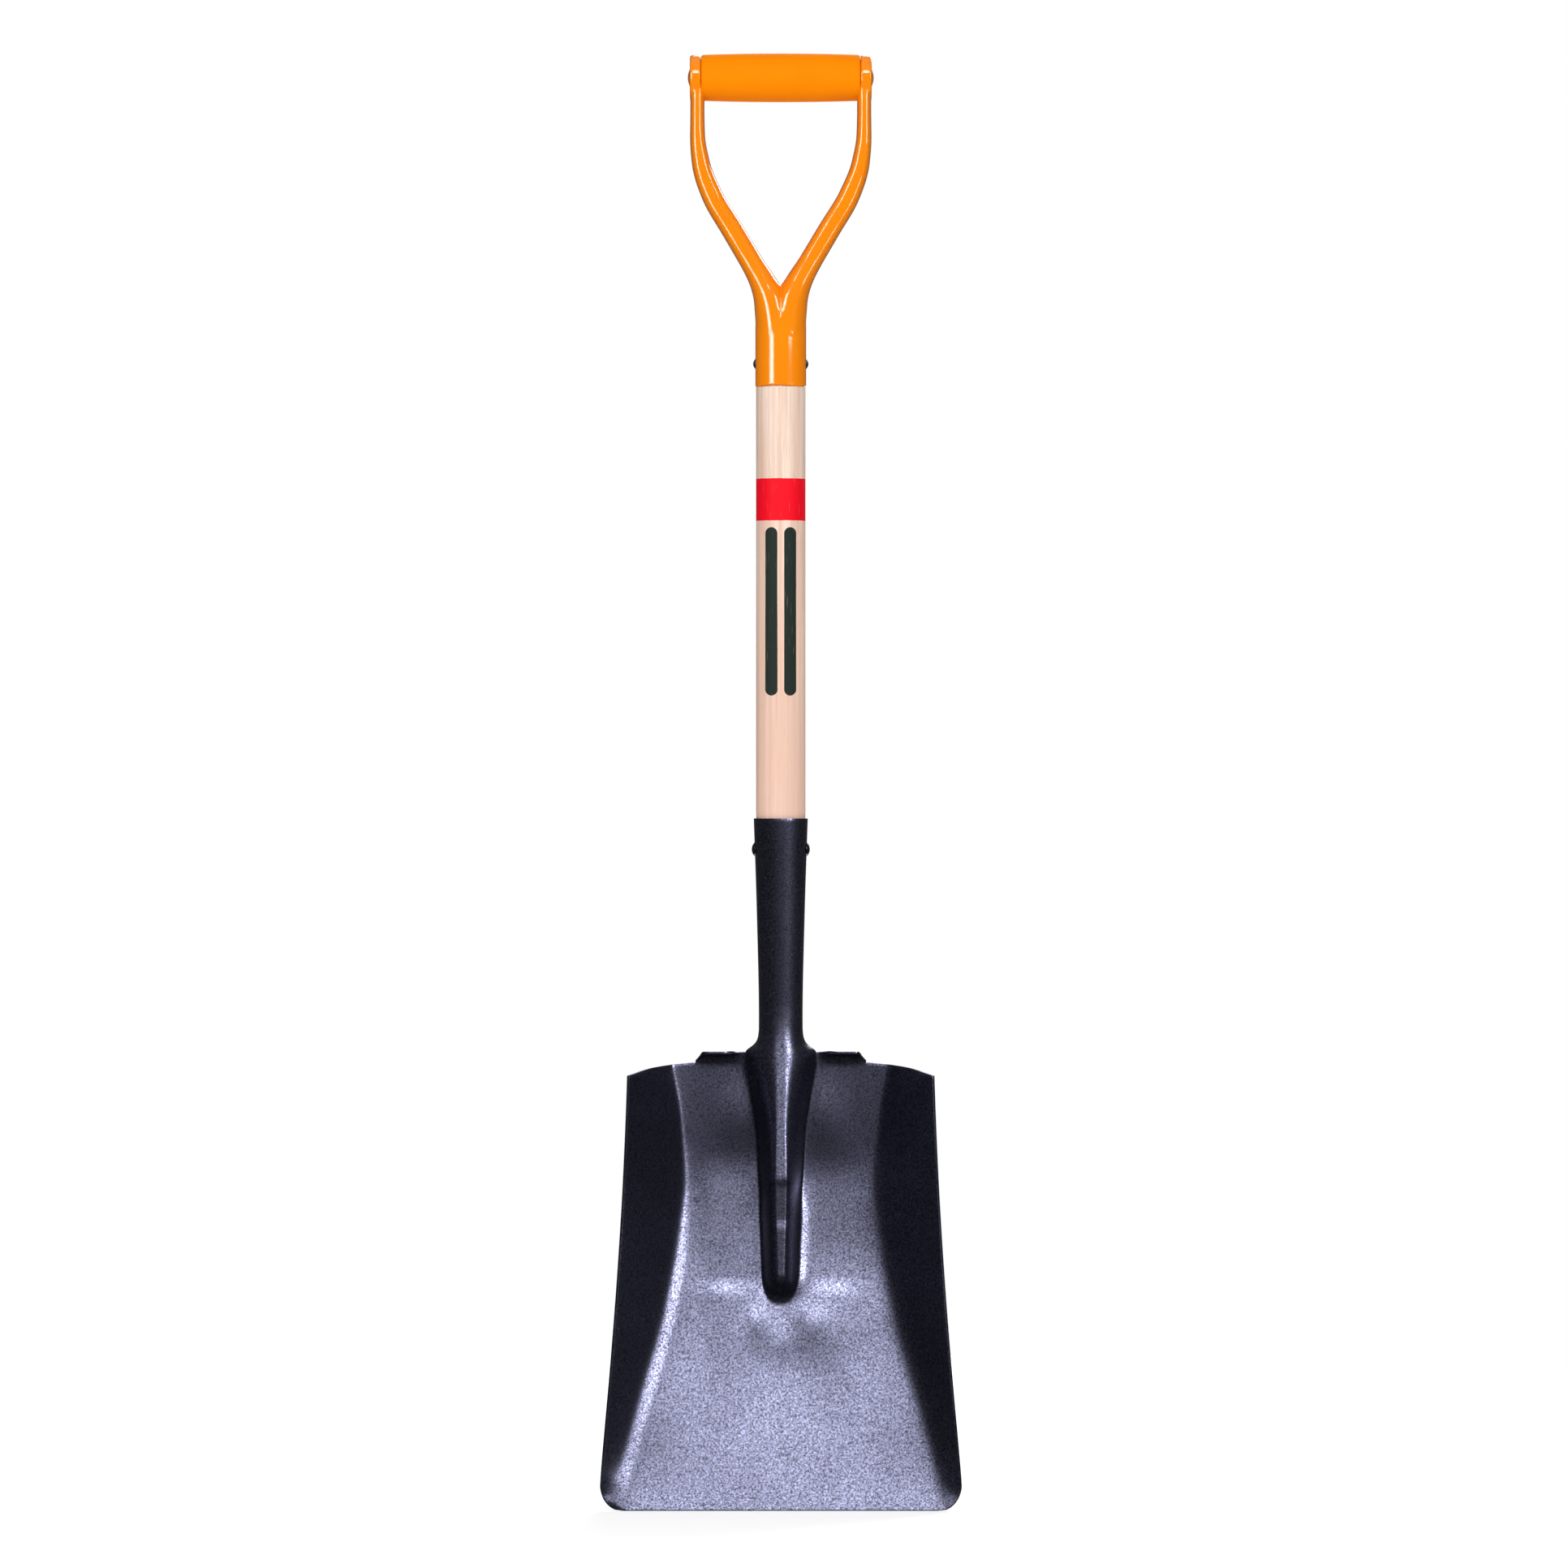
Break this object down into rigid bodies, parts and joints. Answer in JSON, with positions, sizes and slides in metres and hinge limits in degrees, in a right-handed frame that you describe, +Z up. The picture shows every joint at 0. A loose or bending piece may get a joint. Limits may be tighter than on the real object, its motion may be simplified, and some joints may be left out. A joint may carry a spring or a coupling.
{
  "type": "square-mouth shovel with D-handle",
  "caption": "Hand shovel with a dished square-mouth steel pan, turned foot steps, a straight hardwood shaft and a steel D-handle with a cross grip.",
  "frame": {"origin": "middle of the cutting edge, at the centre of the sheet's thickness; the shaft's axis is 70.5 mm behind it", "axes": "+Z up the shaft towards the D-handle, +X along the cutting edge to the right seen from the front, the dished face of the blade looks towards -Y"},
  "size_m": [0.244, 0.0899, 0.9851],
  "materials": {
    "blade_enamel": "hammered powder coat, semi-gloss",
    "hardwood": "clear satin varnish over straight-grained hardwood",
    "orange_enamel": "gloss enamel",
    "orange_lacquer": "gloss lacquer over turned wood",
    "rivet_steel": "dark oxidised steel"
  },
  "bodies": {
    "root": {"blade": "blade_enamel", "shaft": "hardwood", "grip_yoke": "orange_enamel", "cross_grip": "orange_lacquer", "grip_rivet": "orange_enamel", "upper_shaft_rivet": "rivet_steel", "lower_shaft_rivet": "blade_enamel"}
  },
  "joints": []
}
